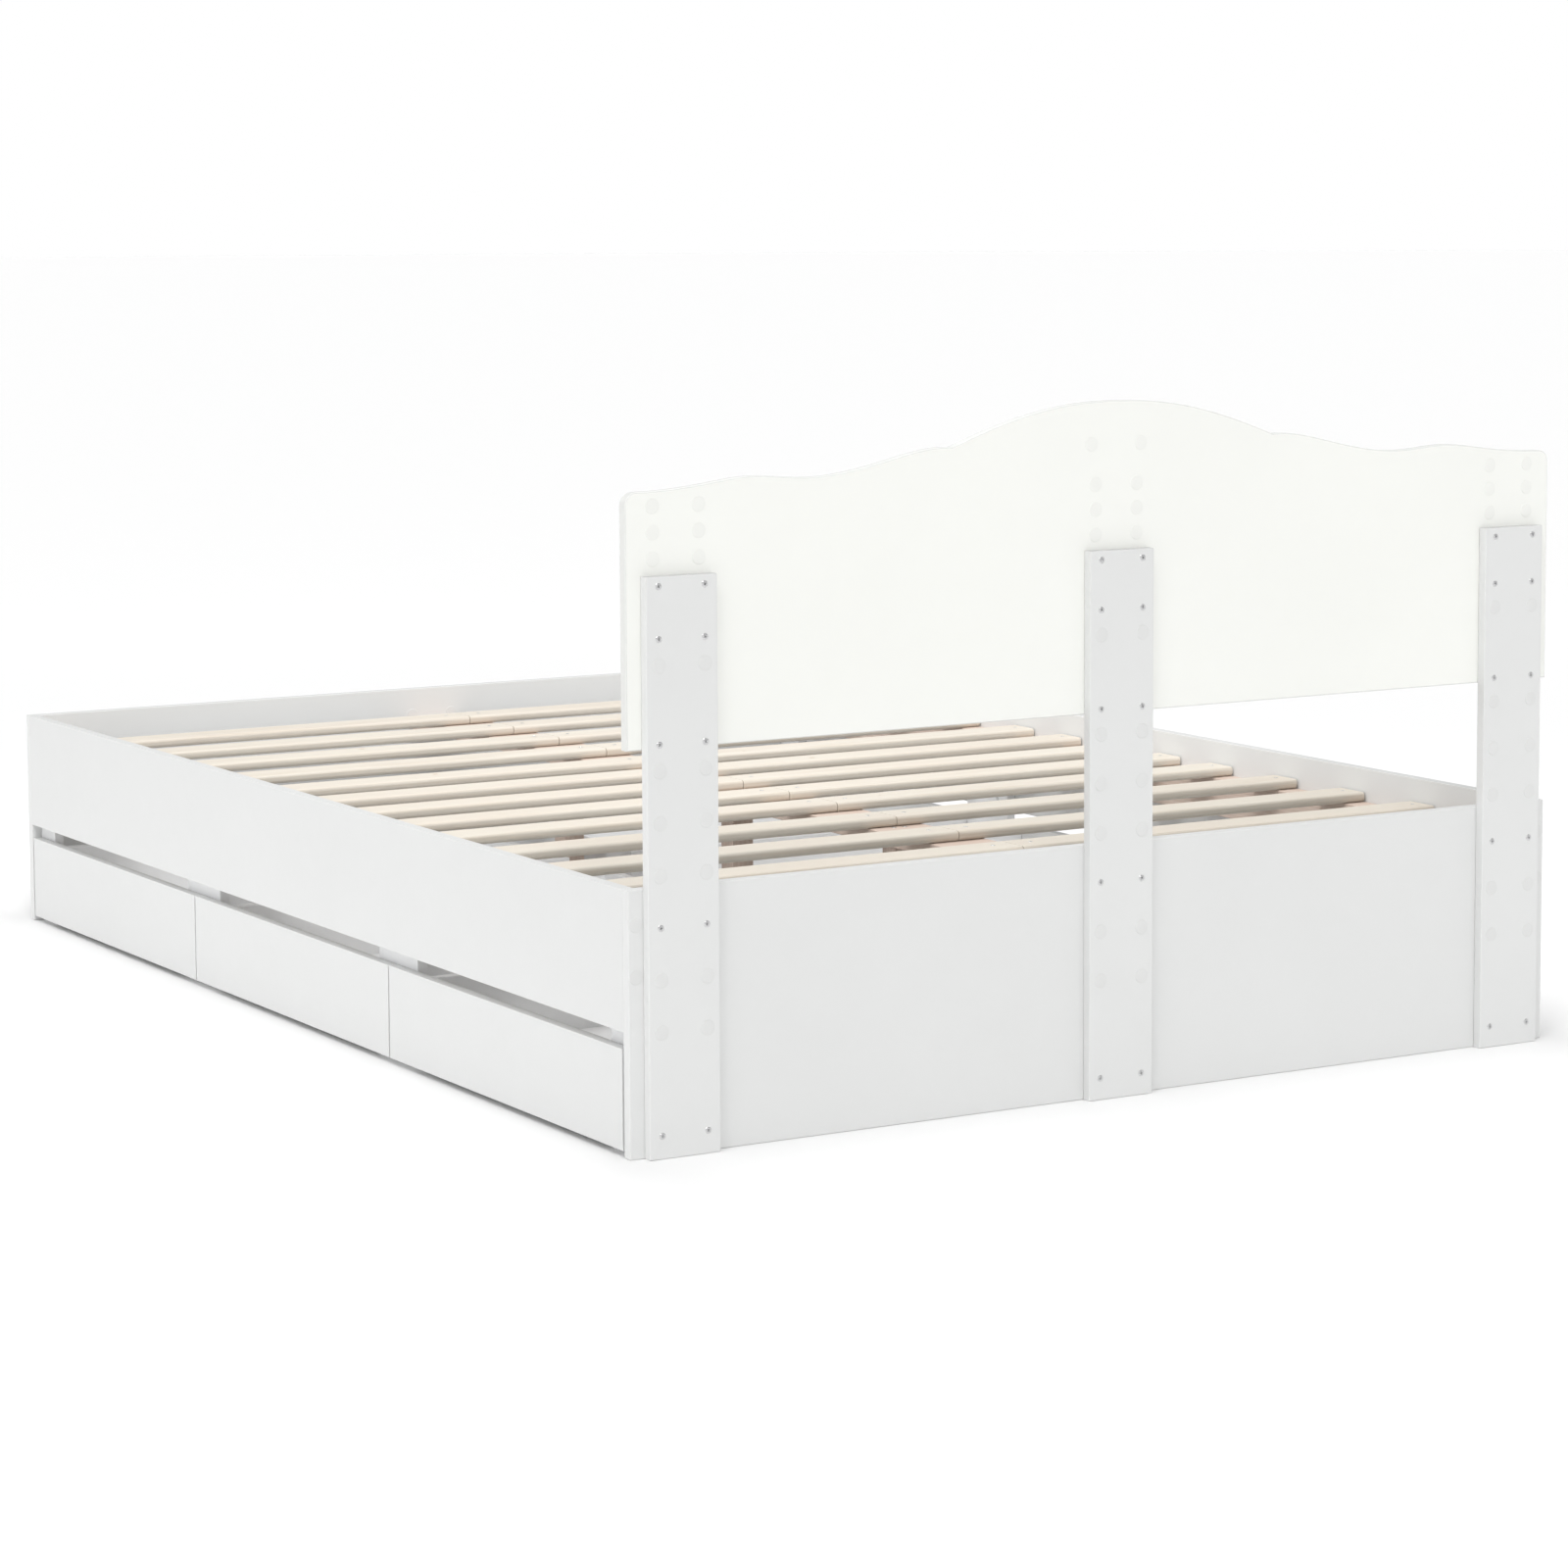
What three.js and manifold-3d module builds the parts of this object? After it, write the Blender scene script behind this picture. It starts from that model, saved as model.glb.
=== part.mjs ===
// Double bed frame with a scalloped headboard, a slatted pine deck and six under-bed drawers.
// Millimetres, +Z up, +Y towards the headboard. The origin is on the floor under the middle of the bed.
// "right" is the +X side and "left" the -X side. Boards, slats and drawers are numbered from the head.
import * as THREE from 'three';
import { mergeVertices } from 'three/addons/utils/BufferGeometryUtils.js';
import Module from 'manifold-3d';

const wasm = await Module();
wasm.setup();

// Overall frame
const BED_WIDTH = 1430;
const BED_LENGTH = 2030; // over the two end panels, without the headboard posts
const FRAME_HEIGHT = 332.5;
const BOARD = 15; // thickness of every coated board
const FIT = 0.3; // gap between two pieces that touch

// Headboard
const POST_WIDTH = 98.5;
const POST_HEIGHT = 712.5;
const POST_INSET = 20; // from the frame's side to the outer posts
const HEADBOARD_THICKNESS = 16;
const HEADBOARD_BOTTOM = 501.5;
const HEADBOARD_PEAK = 903;
const HEADBOARD_CORNER = 12;
const CURVE_STEPS = 14; // straight pieces in each curve of the outline

// Side rails, the upright boards behind them and the drawer openings
const RAIL_BOTTOM = 155.5;
const LEG_BOARD_WIDTH = 120;
const LEG_BOARD_TOP = 227.5;

// Slat deck
const SLAT_WIDTH = 60;
const SLAT_THICKNESS = 14;
const SLAT_EDGE_RADIUS = 5;
const SLAT_TOP = 299;
const SLAT_END_GAP = 2.5; // from the slat to the side rail
const SLAT_JOINT_GAP = 1; // between the two halves, over the beam
const SLAT_FIRST = 81; // head face of the bed to the middle of the first slat
const SLAT_PITCH_WIDE = 160;
const SLAT_PITCH_CLOSE = 134.5; // in the middle of the bed
const SLAT_COUNT = 13;
const LEDGER_WIDTH = 37;
const LEDGER_BOTTOM = 228;
const BEAM_WIDTH = 90;
const BEAM_THICKNESS = 18;
const CENTRE_LEG_SIZE = 35;
const CENTRE_LEG_DISTANCES = [525, 980, 1518]; // from the head face of the bed

// Drawers, three on each side
const DRAWERS_PER_SIDE = 3;
const FRONT_BOTTOM = 8;
const FRONT_TOP = 135;
const FRONT_END_GAP = 5;
const FRONT_SEAM_GAP = 4;
const TRAY_CLEARANCE = 5; // each side of a tray, to the upright boards
const TRAY_DEPTH = 645;
const TRAY_BOTTOM = 30;
const TRAY_TOP = 127;
const TRAY_SIDE_BOTTOM = 18;
const TRAY_FLOOR_THICKNESS = 5;

const coatedBoard = { color: 0xeeeeec, roughness: 0.5, metalness: 0 };
const paintedBoard = { color: 0xf7f7f6, roughness: 0.35, metalness: 0 };
const pine = { color: 0xe9d8b8, roughness: 0.62, metalness: 0 };
const rawPine = { color: 0xe6c4a4, roughness: 0.7, metalness: 0 };

const HALF_WIDTH = BED_WIDTH / 2;
const HEAD_FACE = (BED_LENGTH + BOARD) / 2 - BOARD; // Y of the head panel's outer face
const FOOT_FACE = HEAD_FACE - BED_LENGTH;
const HEAD_INSIDE = HEAD_FACE - BOARD;
const FOOT_INSIDE = FOOT_FACE + BOARD;
const RAIL_INSIDE = HALF_WIDTH - BOARD;
const SLAT_BOTTOM = SLAT_TOP - SLAT_THICKNESS;
const DRAWER_PITCH = (BED_LENGTH - 2 * BOARD) / DRAWERS_PER_SIDE;
const SIDES = [{ name: 'right', sign: 1 }, { name: 'left', sign: -1 }];

const bed = new THREE.Group();

function addMesh(name, geometry, finish) {
  const mesh = new THREE.Mesh(geometry, new THREE.MeshStandardMaterial(finish));
  mesh.name = name;
  bed.add(mesh);
  return mesh;
}

function boxGeometry(x, y, z) {
  const geometry = new THREE.BoxGeometry(x[1] - x[0], y[1] - y[0], z[1] - z[0]);
  geometry.translate((x[0] + x[1]) / 2, (y[0] + y[1]) / 2, (z[0] + z[1]) / 2);
  return geometry;
}

function addBoard(name, x, y, z, finish) {
  return addMesh(name, boxGeometry(x, y, z), finish);
}

// A span along X given outwards from the middle of the bed, on the right or the left side.
function outward(side, near, far) {
  return side.sign > 0 ? [near, far] : [-far, -near];
}

function toSolid(geometry) {
  geometry.deleteAttribute('normal');
  geometry.deleteAttribute('uv');
  const merged = mergeVertices(geometry, 1e-4);
  return new wasm.Manifold(new wasm.Mesh({
    numProp: 3,
    vertProperties: new Float32Array(merged.attributes.position.array),
    triVerts: new Uint32Array(merged.index.array),
  }));
}

function joinSolids(geometries) {
  const solids = geometries.map(toSolid);
  const mesh = solids.reduce((sum, solid) => sum.add(solid)).getMesh();
  const geometry = new THREE.BufferGeometry();
  geometry.setAttribute('position', new THREE.BufferAttribute(mesh.vertProperties, 3));
  geometry.setIndex(new THREE.BufferAttribute(mesh.triVerts, 1));
  geometry.computeVertexNormals();
  return geometry;
}

// ---- End panels and side rails ----

function addEndPanels() {
  const x = [-HALF_WIDTH, HALF_WIDTH];
  addBoard('head_end_panel', x, [HEAD_INSIDE, HEAD_FACE], [0, FRAME_HEIGHT], coatedBoard);
  addBoard('foot_end_panel', x, [FOOT_FACE, FOOT_INSIDE], [0, FRAME_HEIGHT], coatedBoard);
}

function addSideRail(side) {
  const y = [FOOT_INSIDE + FIT, HEAD_INSIDE - FIT];
  const x = outward(side, RAIL_INSIDE, HALF_WIDTH);
  addBoard(`side_rail_${side.name}`, x, y, [RAIL_BOTTOM, FRAME_HEIGHT], coatedBoard);
}

// Upright boards stand on the floor right behind the rail: a half-width one in each corner
// and a full-width one behind each seam between two drawers.
function addLegBoards(side) {
  const x = outward(side, RAIL_INSIDE - BOARD, RAIL_INSIDE - FIT);
  for (let seam = 0; seam <= DRAWERS_PER_SIDE; seam += 1) {
    const middle = HEAD_INSIDE - seam * DRAWER_PITCH;
    const top = Math.min(middle + LEG_BOARD_WIDTH / 2, HEAD_INSIDE - FIT);
    const bottom = Math.max(middle - LEG_BOARD_WIDTH / 2, FOOT_INSIDE + FIT);
    addBoard(`leg_board_${side.name}_${seam + 1}`, x, [bottom, top], [0, LEG_BOARD_TOP], coatedBoard);
  }
}

// ---- Headboard ----

// The top edge from the middle outwards, as distance from the middle and height.
function headboardOutline() {
  const cusp = [249, HEADBOARD_PEAK - 51.5];
  const valley = [457, HEADBOARD_PEAK - 80.5];
  const bump = [538, HEADBOARD_PEAK - 75.7];
  const shoulder = [HALF_WIDTH - HEADBOARD_CORNER, HEADBOARD_PEAK - 89.3];

  const edge = new THREE.Path();
  edge.moveTo(0, HEADBOARD_PEAK);
  edge.bezierCurveTo(85, HEADBOARD_PEAK, 150, HEADBOARD_PEAK - 14, ...cusp);
  edge.bezierCurveTo(cusp[0] + 56, cusp[1] + 5.5, valley[0] - 85, valley[1], ...valley);
  edge.bezierCurveTo(valley[0] + 30, valley[1], bump[0] - 28, bump[1], ...bump);
  edge.bezierCurveTo(bump[0] + 37, bump[1], bump[0] + 82, shoulder[1] + 0.5, ...shoulder);
  edge.absarc(shoulder[0], shoulder[1] - HEADBOARD_CORNER, HEADBOARD_CORNER, Math.PI / 2, 0, true);

  const half = edge.getPoints(CURVE_STEPS);
  const mirrored = half.slice(1).reverse().map((point) => new THREE.Vector2(-point.x, point.y));
  const bottom = [
    new THREE.Vector2(HALF_WIDTH, HEADBOARD_BOTTOM),
    new THREE.Vector2(-HALF_WIDTH, HEADBOARD_BOTTOM),
  ];
  return new THREE.Shape([...mirrored, ...half, ...bottom]);
}

function addHeadboard() {
  const settings = { depth: HEADBOARD_THICKNESS, bevelEnabled: false, curveSegments: CURVE_STEPS };
  const panel = new THREE.ExtrudeGeometry(headboardOutline(), settings);
  panel.rotateX(Math.PI / 2); // the extrusion now runs from the head face towards the foot
  addMesh('headboard_panel', panel, paintedBoard).position.set(0, HEAD_FACE, 0);

  const outer = HALF_WIDTH - POST_INSET - POST_WIDTH / 2;
  for (const [name, middle] of [['right', outer], ['middle', 0], ['left', -outer]]) {
    const x = [middle - POST_WIDTH / 2, middle + POST_WIDTH / 2];
    const y = [HEAD_FACE + FIT, HEAD_FACE + BOARD];
    addBoard(`headboard_post_${name}`, x, y, [0, POST_HEIGHT], coatedBoard);
  }
}

// ---- Slat deck ----

function addLedger(side) {
  const x = outward(side, RAIL_INSIDE - LEDGER_WIDTH, RAIL_INSIDE - FIT);
  const y = [FOOT_INSIDE + FIT, HEAD_INSIDE - FIT];
  addBoard(`slat_ledger_${side.name}`, x, y, [LEDGER_BOTTOM, SLAT_BOTTOM - FIT], rawPine);
}

function addCentreBeam() {
  const top = SLAT_BOTTOM - FIT;
  const bottom = top - BEAM_THICKNESS;
  const x = [-BEAM_WIDTH / 2, BEAM_WIDTH / 2];
  addBoard('centre_beam', x, [FOOT_INSIDE + FIT, HEAD_INSIDE - FIT], [bottom, top], rawPine);

  CENTRE_LEG_DISTANCES.forEach((distance, index) => {
    const middle = HEAD_FACE - distance;
    const half = CENTRE_LEG_SIZE / 2;
    const y = [middle - half, middle + half];
    addBoard(`centre_leg_${index + 1}`, [-half, half], y, [0, bottom - FIT], rawPine);
  });
}

// A flat slat with rounded long edges, in the YZ plane, extruded along X from 0.
function slatGeometry(length) {
  const halfWidth = SLAT_WIDTH / 2;
  const r = SLAT_EDGE_RADIUS;
  const section = new THREE.Shape();
  section.moveTo(-halfWidth + r, 0);
  section.lineTo(halfWidth - r, 0);
  section.absarc(halfWidth - r, r, r, -Math.PI / 2, 0, false);
  section.absarc(halfWidth - r, SLAT_THICKNESS - r, r, 0, Math.PI / 2, false);
  section.absarc(-halfWidth + r, SLAT_THICKNESS - r, r, Math.PI / 2, Math.PI, false);
  section.absarc(-halfWidth + r, r, r, Math.PI, 1.5 * Math.PI, false);
  const geometry = new THREE.ExtrudeGeometry(section, { depth: length, bevelEnabled: false, curveSegments: 4 });
  geometry.rotateX(Math.PI / 2);
  geometry.rotateZ(Math.PI / 2); // the section's width now lies along Y and the length along X
  return geometry;
}

// Distance from the head face to the middle of each slat: wide spacing at both ends.
function slatDistances() {
  const distances = [SLAT_FIRST];
  const closeFrom = 4;
  const closeTo = 8;
  for (let index = 1; index < SLAT_COUNT; index += 1) {
    const close = index > closeFrom && index <= closeTo;
    distances.push(distances[index - 1] + (close ? SLAT_PITCH_CLOSE : SLAT_PITCH_WIDE));
  }
  return distances;
}

function addSlats() {
  const start = SLAT_JOINT_GAP / 2;
  const end = RAIL_INSIDE - SLAT_END_GAP;
  slatDistances().forEach((distance, index) => {
    const number = String(index + 1).padStart(2, '0');
    for (const side of SIDES) {
      const slat = addMesh(`slat_${number}_${side.name}`, slatGeometry(end - start), pine);
      slat.position.set(side.sign > 0 ? start : -end, HEAD_FACE - distance, SLAT_BOTTOM);
    }
  });
}

// ---- Drawers ----

function addDrawer(side, index) {
  const name = `drawer_${side.name}_${index + 1}`;
  const headSeam = HEAD_INSIDE - index * DRAWER_PITCH;
  const footSeam = headSeam - DRAWER_PITCH;
  const headGap = index === 0 ? FRONT_END_GAP : FRONT_SEAM_GAP / 2;
  const footGap = index === DRAWERS_PER_SIDE - 1 ? FRONT_END_GAP : FRONT_SEAM_GAP / 2;
  const frontY = [footSeam + footGap, headSeam - headGap];
  const frontX = outward(side, RAIL_INSIDE, HALF_WIDTH);
  addBoard(`${name}_front`, frontX, frontY, [FRONT_BOTTOM, FRONT_TOP], coatedBoard);

  const edge = LEG_BOARD_WIDTH / 2 + TRAY_CLEARANCE;
  const y = [footSeam + edge, headSeam - edge];
  const outer = RAIL_INSIDE - FIT;
  const inner = outer - TRAY_DEPTH;
  const z = [TRAY_SIDE_BOTTOM, TRAY_TOP];
  const floor = [TRAY_BOTTOM, TRAY_BOTTOM + TRAY_FLOOR_THICKNESS];
  const tray = joinSolids([
    boxGeometry(outward(side, inner, outer), [y[1] - BOARD, y[1]], z),
    boxGeometry(outward(side, inner, outer), [y[0], y[0] + BOARD], z),
    boxGeometry(outward(side, inner, inner + BOARD), y, z),
    boxGeometry(outward(side, inner, outer), y, floor),
  ]);
  addMesh(`${name}_tray`, tray, coatedBoard);
}

addEndPanels();
addHeadboard();
addCentreBeam();
addSlats();
for (const side of SIDES) {
  addSideRail(side);
  addLegBoards(side);
  addLedger(side);
  for (let index = 0; index < DRAWERS_PER_SIDE; index += 1) addDrawer(side, index);
}

export default bed;
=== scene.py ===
"""The looks of a double bed frame with six drawers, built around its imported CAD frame.

Metres, +Z up, +Y towards the headboard, +X to the right as seen from the foot. Boards and planks
are pieces that stand for their CAD nodes, and fittings ride on the same bodies. Planks carry a
"grain" attribute, their own lengthwise, crosswise and upward coordinates. Coated boards carry an
"edge" attribute that marks their banded sides and rounded corners.
"""
import math
import random

import bmesh
import bpy
from mathutils import Matrix, Vector


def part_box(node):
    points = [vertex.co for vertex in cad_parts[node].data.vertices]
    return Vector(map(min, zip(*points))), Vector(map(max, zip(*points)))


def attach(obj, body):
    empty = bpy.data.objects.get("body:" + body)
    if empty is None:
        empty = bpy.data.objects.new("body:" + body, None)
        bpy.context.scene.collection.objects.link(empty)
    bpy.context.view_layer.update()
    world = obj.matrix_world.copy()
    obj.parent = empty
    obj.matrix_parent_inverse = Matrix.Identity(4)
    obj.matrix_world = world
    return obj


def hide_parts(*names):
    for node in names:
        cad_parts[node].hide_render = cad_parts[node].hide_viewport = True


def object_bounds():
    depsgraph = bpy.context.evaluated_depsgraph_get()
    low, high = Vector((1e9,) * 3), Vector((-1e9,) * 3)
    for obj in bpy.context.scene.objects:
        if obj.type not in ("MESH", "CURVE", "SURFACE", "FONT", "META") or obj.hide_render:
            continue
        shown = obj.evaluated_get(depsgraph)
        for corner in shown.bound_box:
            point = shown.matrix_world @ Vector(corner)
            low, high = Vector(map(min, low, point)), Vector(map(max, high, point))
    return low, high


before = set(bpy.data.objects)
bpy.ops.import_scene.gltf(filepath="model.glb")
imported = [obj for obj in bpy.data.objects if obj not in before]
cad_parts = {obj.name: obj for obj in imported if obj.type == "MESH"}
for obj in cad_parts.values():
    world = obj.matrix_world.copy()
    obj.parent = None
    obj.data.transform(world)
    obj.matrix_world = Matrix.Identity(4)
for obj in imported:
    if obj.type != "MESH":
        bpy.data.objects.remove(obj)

cad_low, cad_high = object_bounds()
random.seed(41)

MM = 0.001
SIDES = {"right": 1, "left": -1}
X_AXIS = Vector((1, 0, 0))
Y_AXIS = Vector((0, 1, 0))
Z_AXIS = Vector((0, 0, 1))
SHARP_ANGLE = math.radians(50)

# Boards
BOARD_EDGE = 0.9 * MM
BANDED = 0.5  # value of the edge attribute on the narrow, banded sides
WORN = 1.0  # value of the edge attribute on the rounded corners

# The headboard panel. Its front faces the sleeper and its back the posts.
HEADBOARD_CORNER = 16 * MM
HEADBOARD_SHOULDER_DROP = 89.3 * MM  # from its peak to its upper corners
HEADBOARD_FRONT_EDGE = 3.0 * MM
HEADBOARD_BACK_EDGE = 1.5 * MM

# Fixings on the headboard posts, on the 32 mm grid of furniture boards
GRID = 32 * MM
POST_COLUMN = 17.25 * MM  # from the post's side to its first column of holes
POST_FIRST_ROW = 28.5 * MM
POST_SCREW_HEIGHTS = [POST_FIRST_ROW + GRID * step for step in (0, 8, 15, 19, 21)]
POST_CAP_HEIGHTS = [POST_FIRST_ROW + GRID * step for step in (4, 6, 10, 12, 14, 18)]
POST_SCREW_DEPTH = 0.2 * MM

# Caps on the headboard over each post. The middle post's top pair sits off the grid.
HEADBOARD_CAP_ROWS = {"right": 3, "middle": 4, "left": 3}
HEADBOARD_CAP_LIFT = 20 * MM  # from the post's top to the first row
TOP_CAP_ROW = 3
TOP_CAP_LIFT = 19.5 * MM
TOP_CAP_SPREAD = 6 * MM

# Other fixings, as heights above the floor unless said otherwise
RAIL_CAP_HEIGHTS = (225 * MM, 289 * MM)
RAIL_CAP_INSET = 10.3 * MM  # from the side of the bed
BEAM_CAP_HEIGHT = 289 * MM
BEAM_CAP_REACH = 36 * MM  # from the middle of the bed
LEG_BOARD_NUMBERS = (1, 2, 3, 4)
LEG_SCREW_HEIGHTS = (175 * MM, 207 * MM)
LEG_SCREW_REACH = 0.25  # from the board's middle, as a share of its width
LEDGER_SCREW_COUNT = 9
LEDGER_SCREW_INSET = 120 * MM  # from the ledger's ends
LEDGER_SCREW_HEIGHTS = (38 * MM, 20 * MM)  # from the ledger's bottom, by turns
LEDGER_SCREW_LIFT = 0.1 * MM
BEAM_SCREW_REACH = 9 * MM  # from the middle of the bed
BEAM_SCREW_LIFT = 0.05 * MM

# Caps and screws
CAP_RADIUS = 9.5 * MM
CAP_HEIGHT = 0.5 * MM
SCREW_RADIUS = 4.3 * MM
COUNTERSINK_MARGIN = 0.35 * MM
CROSS_ARM = 1.9 * MM
CROSS_HALF_WIDTH = 0.5 * MM
CROSS_BOTTOM = 0.3 * MM
RECESS_DEPTH = 1.6 * MM

# Slats and planks
SLAT_COUNT = 13
SLAT_RADIUS = 5.5 * MM
SLAT_CORNER_STEPS = 6
SLAT_END = 0.8 * MM
SLAT_SCREW_DISTANCES = (30 * MM, 681 * MM)  # from the middle of the bed
SLAT_SCREW_RADIUS = 3.4 * MM
SLAT_SCREW_LIFT = 0.1 * MM
PLANK_EDGE = 1.2 * MM
CENTRE_LEGS = (1, 2, 3)

# Drawers
DRAWER_NUMBERS = (1, 2, 3)
TRAY_BOARD = 15 * MM
TRAY_FIT = 0.15 * MM  # gap between the tray's boards
TRAY_FLOOR_LIFT = 12 * MM  # bottom edge of the sides to the underside of the drawer's bottom
TRAY_FLOOR_THICKNESS = 5 * MM
TRAY_FLOOR_EDGE = 0.4 * MM
TRAY_SCREW_FROM_BOTTOM = 25 * MM
TRAY_SCREW_FROM_TOP = 22 * MM
TRAY_SCREW_LIFT = 0.05 * MM

# Castors, with heights above the floor
CASTOR_FROM_BACK = 45 * MM
CASTOR_FROM_FRONT = 60 * MM
CASTOR_RADIUS = 13 * MM
CASTOR_HALF_WIDTH = 4.5 * MM
CASTOR_HUB = 3 * MM
CASTOR_CLEARANCE = 0.2 * MM  # from the floor to the wheel
CASTOR_BOARD_GAP = 6 * MM  # from the drawer's side to the wheel
CASTOR_PLATE = 4 * MM
CASTOR_PLATE_EDGE = 1.2 * MM
CASTOR_PLATE_BLOCKS = [  # half length along X, bottom, top
    (20 * MM, 18.5 * MM, 29.5 * MM),
    (8 * MM, 7 * MM, 20 * MM),
]
CASTOR_AXLE_START = 1.5 * MM
CASTOR_SCREW_REACH = 14 * MM
CASTOR_SCREW_HEIGHT = 24 * MM
CASTOR_SCREW_LIFT = 0.05 * MM
CASTOR_SCREW_RADIUS = 2.8 * MM

# Studio. The room's light changes with the sine of the height above the horizon.
HORIZON_LIGHT = 1.0
HORIZON_TOP = 0.04
WALL_LIGHT = 0.64
WALL_BOTTOM = 0.12
SUNS = [  # name, strength, direction it shines from, softness in degrees
    ("key", 0.93, (0.213, 0.742, 0.636), 13),
    ("fill", 0.6, (0.6, 0.4, 1.0), 15),
    ("side", 0.52, (0.94, 0.0, 0.34), 5),
]
SOFTBOX_WATTS = 31.0
SOFTBOX_HEIGHT = 2.4
SOFTBOX_SHARE = 0.9  # of the bed's width and length
FLOOR_RADIUS = 60.0
FLOOR_DROP = 0.3 * MM  # below the bed
FLOOR_FADE = (2.0, 5.0)  # from the middle, where the floor turns from pale grey to white

# Camera, solved from the straight edges of the bed in the photo. Angles in degrees.
CAMERA_PLACE = (3.1758, 5.5614, 1.1928)
CAMERA_HEADING = 180 - 30.489
CAMERA_PITCH = 90 - 5.974
CAMERA_ROLL = -0.275
SENSOR_WIDTH = 36.0
FOCAL_LENGTH = 99.48
LENS_SHIFT = -0.1


# ---- Materials ----

class Finish:
    """One procedural material, built a node at a time around its Principled shader."""

    def __init__(self, name, **uniform):
        self.material = bpy.data.materials.new(name)
        self.material.use_nodes = True
        self.tree = self.material.node_tree
        self.shader = self.tree.nodes["Principled BSDF"]
        for socket, value in uniform.items():
            self.shader.inputs[socket.replace("_", " ")].default_value = value

    def put(self, socket, value):
        if isinstance(value, bpy.types.NodeSocket):
            self.tree.links.new(value, socket)
        else:
            socket.default_value = value

    def node(self, kind, settings=(), **inputs):
        made = self.tree.nodes.new("ShaderNode" + kind)
        for key, value in dict(settings).items():
            setattr(made, key, value)
        for key, value in inputs.items():
            self.put(made.inputs[key.replace("_", " ")], value)
        return made

    def place(self):
        return self.node("TexCoord").outputs["Object"]

    def attribute(self, name, output="Fac"):
        return self.node("Attribute", {"attribute_name": name}).outputs[output]

    def stretch(self, vector, scale):
        return self.node("Mapping", Vector=vector, Scale=scale).outputs["Vector"]

    def noise(self, vector, scale, detail=2.0, roughness=0.5):
        made = self.node("TexNoise", Vector=vector, Scale=scale, Detail=detail, Roughness=roughness)
        return made.outputs["Fac"]

    def math(self, operation, first, second=0.0):
        made = self.node("Math", {"operation": operation})
        self.put(made.inputs[0], first)
        self.put(made.inputs[1], second)
        return made.outputs["Value"]

    def vector_math(self, operation, first, second, output="Vector"):
        made = self.node("VectorMath", {"operation": operation})
        self.put(made.inputs[0], first)
        self.put(made.inputs[1], second)
        return made.outputs[output]

    def spread(self, value, low, high, to_low=0.0, to_high=1.0, smooth=False):
        """A value mapped from the range low to high onto the range to_low to to_high."""
        settings = {"interpolation_type": "SMOOTHSTEP" if smooth else "LINEAR"}
        made = self.node("MapRange", settings, Value=value)
        for socket, number in zip(list(made.inputs)[1:5], (low, high, to_low, to_high)):
            self.put(socket, number)
        return made.outputs["Result"]

    def mix(self, factor, first, second):
        """Two colours mixed. A Mix node's colours are its inputs 6 and 7 and its output 2."""
        made = self.node("Mix", {"data_type": "RGBA"})
        self.put(made.inputs[0], factor)
        self.put(made.inputs[6], first)
        self.put(made.inputs[7], second)
        return made.outputs[2]

    def bump(self, height, strength, distance, normal=None):
        made = self.node("Bump", Height=height, Strength=strength, Distance=distance)
        if normal is not None:
            self.put(made.inputs["Normal"], normal)
        return made.outputs["Normal"]

    def facing_up(self):
        """1 on surfaces that face up, 0 on the rest."""
        normal = self.node("NewGeometry").outputs["Normal"]
        return self.spread(self.vector_math("DOT_PRODUCT", normal, Z_AXIS, "Value"), 0.5, 0.95)

    def finish(self, color=None, roughness=None, normal=None):
        for socket, value in (("Base Color", color), ("Roughness", roughness), ("Normal", normal)):
            if value is not None:
                self.put(self.shader.inputs[socket], value)
        return self.material


def color(red, green, blue):
    return (red, green, blue, 1.0)


def times(factor, shade):
    return color(*(factor * part for part in shade[:3]))


def coated_board(name, light, shade, pore_depth):
    """Coated chipboard: faint mottling, fine pores, painted shade on its upper banded edges and
    lightly worn corners.
    """
    coat = Finish(name, IOR=1.5)
    place = coat.place()
    mottle = coat.noise(place, scale=5.0, detail=4.0, roughness=0.6)
    pore_place = coat.stretch(place, (1.0, 1.0, 0.55))
    pores = coat.noise(pore_place, scale=620.0, detail=3.0, roughness=0.65)
    rubbed = coat.noise(place, scale=45.0, detail=5.0, roughness=0.7)

    tone = coat.mix(coat.spread(mottle, 0.3, 0.7), light, shade)
    tone = coat.mix(coat.spread(pores, 0.62, 0.75, 0.0, 0.14), tone, times(0.9, shade))
    edge = coat.attribute("edge")
    banded = coat.spread(edge, 0.2, BANDED, 0.0, 0.35)
    tone = coat.mix(banded, tone, times(1.03, light))
    # Painted shade: banded edges that face up are mixed towards a darker tone, 0.8 of the light tone.
    top_edge_painted_shade = coat.math("MULTIPLY", coat.facing_up(), coat.spread(edge, 0.2, BANDED))
    tone = coat.mix(top_edge_painted_shade, tone, times(0.8, light))
    corner = coat.spread(edge, BANDED, WORN)
    worn = coat.math("MULTIPLY", corner, coat.spread(rubbed, 0.5, 0.72))
    tone = coat.mix(coat.math("MULTIPLY", worn, 0.5), tone, color(0.62, 0.6, 0.57))

    rough = coat.spread(pores, 0.3, 0.7, 0.54, 0.64)
    rough = coat.math("ADD", rough, coat.spread(rubbed, 0.4, 0.7, -0.03, 0.05))
    rough = coat.math("SUBTRACT", rough, coat.math("MULTIPLY", banded, 0.25))
    return coat.finish(tone, rough, coat.bump(pores, 0.35, pore_depth))


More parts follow.
